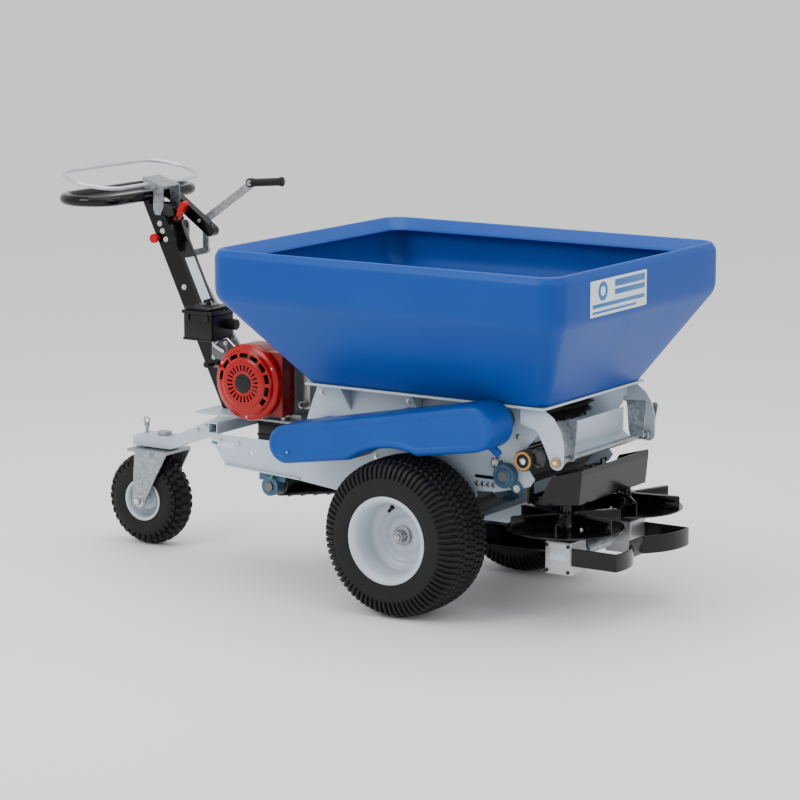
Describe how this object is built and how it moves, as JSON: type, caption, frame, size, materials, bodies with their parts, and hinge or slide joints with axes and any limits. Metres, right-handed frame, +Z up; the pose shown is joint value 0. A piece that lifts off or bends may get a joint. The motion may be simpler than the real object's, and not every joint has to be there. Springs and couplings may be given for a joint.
{
  "type": "garden spreader",
  "caption": "Walk-behind garden spreader with a moulded hopper, feed conveyor, spinner discs, engine, drive wheels and swivel caster.",
  "frame": {"origin": "centre of the machine's footprint box, on the floor", "axes": "+X towards the spinner end, +Y to the operator's left, +Z up"},
  "size_m": [1.769, 0.88, 1.0626],
  "materials": {
    "frame_paint": "semi gloss",
    "bearing_paint": "satin",
    "fastener_zinc": "bright",
    "cast_grey": "cast",
    "hopper_plastic": "satin moulded",
    "cover_plastic": "satin moulded",
    "chain_steel": "oiled",
    "belt_rubber": "matt",
    "engine_alloy": "cast",
    "fan_red": "gloss",
    "recoil_red": "gloss",
    "black_plastic": "satin",
    "muffler_steel": "dull",
    "black_paint": "gloss",
    "gearbox_alloy": "machined",
    "tyre_rubber": "matt",
    "rim_paint": "gloss",
    "zinc_plate": "galvanised",
    "bail_wire": "plated",
    "red_plastic": "gloss",
    "bristle": "matt",
    "roller_steel": "turned"
  },
  "bodies": {
    "chassis": {"side_plate_right": "frame_paint", "side_plate_left": "frame_paint", "cross_members": "frame_paint", "gooseneck_beam": "frame_paint", "bearing_housings": "bearing_paint", "frame_bolts": "fastener_zinc", "transaxle": "cast_grey", "hopper": "hopper_plastic", "hopper_frame": "frame_paint", "gate_cheeks": "frame_paint", "chain_cover": "cover_plastic", "drive_chains": "chain_steel", "drive_belt": "belt_rubber", "engine_block": "engine_alloy", "engine_shroud": "fan_red", "recoil_cover": "recoil_red", "air_cleaner": "black_plastic", "carburettor": "cast_grey", "muffler": "muffler_steel", "fuel_tank": "black_plastic", "mast": "black_paint", "handlebar_loop": "black_paint", "lever_support": "black_paint", "spinner_arms": "black_paint", "spinner_gearboxes": "gearbox_alloy", "spinner_guard": "black_paint", "conveyor_belt": "belt_rubber", "discharge_hood": "black_paint"},
    "drive_wheel_right": {"drive_tyre_right": "tyre_rubber", "drive_rim_right": "rim_paint", "wheel_hub_right": "zinc_plate"},
    "drive_wheel_left": {"drive_tyre_left": "tyre_rubber", "drive_rim_left": "rim_paint", "wheel_hub_left": "zinc_plate"},
    "caster_swivel": {"caster_fork": "zinc_plate"},
    "caster_wheel": {"caster_tyre": "tyre_rubber", "caster_rim": "rim_paint"},
    "caster_lock": {"lock_pin": "zinc_plate"},
    "bail": {"bail_bracket": "zinc_plate", "bail_rod": "bail_wire"},
    "throttle": {"throttle_lever": "red_plastic"},
    "stop": {"stop_knob": "red_plastic"},
    "feed_hand_lever": {"feed_lever": "zinc_plate", "lever_grip": "black_plastic"},
    "feed_link_bar": {"feed_link": "zinc_plate"},
    "bell": {"bell_crank": "zinc_plate"},
    "rod": {"feed_rod": "zinc_plate"},
    "clutch": {"clutch_arm": "zinc_plate"},
    "front_conveyor_roller": {"front_roller": "roller_steel"},
    "rear_conveyor_roller": {"rear_roller": "roller_steel"},
    "brush": {"beater_brush": "bristle"},
    "jack": {"jack_shaft": "roller_steel"},
    "gate_bar": {"gate_crossbar": "zinc_plate"},
    "gate": {"gate_plate": "frame_paint"},
    "spinner_disc_right": {"spinner_right": "black_paint"},
    "spinner_disc_left": {"spinner_left": "black_paint"},
    "spinner_cross_shaft": {"spinner_shaft": "zinc_plate"},
    "crank": {"crankshaft": "roller_steel"},
    "starter": {"starter_handle": "black_plastic"},
    "cap": {"fuel_cap": "black_plastic"}
  },
  "joints": [
    {"name": "drive_wheel_right_spin", "type": "hinge", "parent": "chassis", "child": "drive_wheel_right", "pos_m": [0.3305, -0.31, 0.206], "axis": [0, 1, 0], "continuous": true},
    {"name": "drive_wheel_left_spin", "type": "hinge", "parent": "chassis", "child": "drive_wheel_left", "pos_m": [0.3305, 0.31, 0.206], "axis": [0, 1, 0], "continuous": true},
    {"name": "caster_swivel_turn", "type": "hinge", "parent": "chassis", "child": "caster_swivel", "pos_m": [-0.6695, 0, 0.29], "axis": [0, 0, 1], "continuous": true},
    {"name": "caster_wheel_spin", "type": "hinge", "parent": "caster_swivel", "child": "caster_wheel", "pos_m": [-0.7195, 0, 0.13], "axis": [0, 1, 0], "continuous": true},
    {"name": "caster_lock_pin", "type": "slide", "parent": "chassis", "child": "caster_lock", "axis": [0, 0, 1], "range_m": [-0.016, 0]},
    {"name": "operator_bail", "type": "hinge", "parent": "chassis", "child": "bail", "pos_m": [-0.6545, 0, 0.945], "axis": [0, -1, 0], "range_deg": [0, 8], "stiffness_Nm_per_rad": 12, "springref_deg": -20.05},
    {"name": "throttle_lever_tilt", "type": "hinge", "parent": "chassis", "child": "throttle", "pos_m": [-0.6135, 0, 0.925], "axis": [0, 1, 0], "range_deg": [-20, 20]},
    {"name": "stop_knob_turn", "type": "hinge", "parent": "chassis", "child": "stop", "pos_m": [-0.6595, -0.05, 0.872], "axis": [0, 1, 0], "range_deg": [0, 90]},
    {"name": "feed_lever_pull", "type": "hinge", "parent": "chassis", "child": "feed_hand_lever", "pos_m": [-0.5745, 0.07, 0.917], "axis": [0, 1, 0], "range_deg": [-15, 35]},
    {"name": "feed_link_pivot", "type": "hinge", "parent": "feed_hand_lever", "child": "feed_link_bar", "pos_m": [-0.5745, 0.08, 0.832], "axis": [0, 1, 0], "range_deg": [-36, 16]},
    {"name": "bell_crank_pivot", "type": "hinge", "parent": "chassis", "child": "bell", "pos_m": [-0.6445, 0.07, 0.9], "axis": [0, 1, 0], "range_deg": [-16, 36]},
    {"name": "feed_rod_pivot", "type": "hinge", "parent": "bell", "child": "rod", "pos_m": [-0.6445, 0.07, 0.84], "axis": [0, 1, 0], "range_deg": [-36, 16]},
    {"name": "clutch_arm_pivot", "type": "hinge", "parent": "chassis", "child": "clutch", "pos_m": [-0.3845, 0.08, 0.53], "axis": [0, 1, 0], "range_deg": [-16, 36]},
    {"name": "beater_brush_spin", "type": "hinge", "parent": "chassis", "child": "brush", "pos_m": [0.5625, 0, 0.512], "axis": [0, 1, 0], "continuous": true},
    {"name": "front_roller_spin", "type": "hinge", "parent": "chassis", "child": "front_conveyor_roller", "pos_m": [0.5695, 0, 0.369], "axis": [0, 1, 0], "continuous": true},
    {"name": "rear_roller_spin", "type": "hinge", "parent": "chassis", "child": "rear_conveyor_roller", "pos_m": [-0.1635, 0, 0.259], "axis": [0, 1, 0], "continuous": true},
    {"name": "jack_shaft_spin", "type": "hinge", "parent": "chassis", "child": "jack", "pos_m": [-0.0025, 0, 0.415], "axis": [0, 1, 0], "continuous": true},
    {"name": "gate_bar_tilt", "type": "hinge", "parent": "chassis", "child": "gate_bar", "pos_m": [0.7325, 0, 0.424], "axis": [0, 1, 0], "range_deg": [0, 20]},
    {"name": "gate_lift", "type": "slide", "parent": "chassis", "child": "gate", "axis": [0, 0, 1], "range_m": [0, 0.051]},
    {"name": "spinner_right_spin", "type": "hinge", "parent": "chassis", "child": "spinner_disc_right", "pos_m": [0.7125, -0.155, 0.24], "axis": [0, 0, 1], "continuous": true},
    {"name": "spinner_left_spin", "type": "hinge", "parent": "chassis", "child": "spinner_disc_left", "pos_m": [0.7125, 0.155, 0.24], "axis": [0, 0, 1], "continuous": true},
    {"name": "spinner_cross_shaft_spin", "type": "hinge", "parent": "chassis", "child": "spinner_cross_shaft", "pos_m": [0.7125, 0, 0.1685], "axis": [0, 1, 0], "continuous": true},
    {"name": "crankshaft_spin", "type": "hinge", "parent": "chassis", "child": "crank", "pos_m": [-0.2565, 0, 0.526], "axis": [0, 1, 0], "continuous": true},
    {"name": "starter_pull", "type": "slide", "parent": "chassis", "child": "starter", "axis": [-1, 0, 0], "range_m": [0, 0.35], "stiffness_N_per_m": 30, "springref_m": -0.05},
    {"name": "fuel_cap_turn", "type": "hinge", "parent": "chassis", "child": "cap", "pos_m": [-0.2595, 0.122, 0.37], "axis": [0, 1, 0], "range_deg": [0, 120]}
  ],
  "couplings": [
    {"joint": "feed_link_pivot", "follows": "feed_lever_pull", "ratio": -1},
    {"joint": "bell_crank_pivot", "follows": "feed_lever_pull", "ratio": 1},
    {"joint": "feed_rod_pivot", "follows": "feed_lever_pull", "ratio": -1},
    {"joint": "clutch_arm_pivot", "follows": "feed_lever_pull", "ratio": 1},
    {"joint": "front_roller_spin", "follows": "beater_brush_spin", "ratio": 1},
    {"joint": "rear_roller_spin", "follows": "beater_brush_spin", "ratio": 1},
    {"joint": "jack_shaft_spin", "follows": "beater_brush_spin", "ratio": 1},
    {"joint": "gate_lift", "follows": "gate_bar_tilt", "m_per_rad": 0.1432},
    {"joint": "spinner_left_spin", "follows": "spinner_right_spin", "ratio": -1},
    {"joint": "spinner_cross_shaft_spin", "follows": "spinner_right_spin", "ratio": 1}
  ]
}
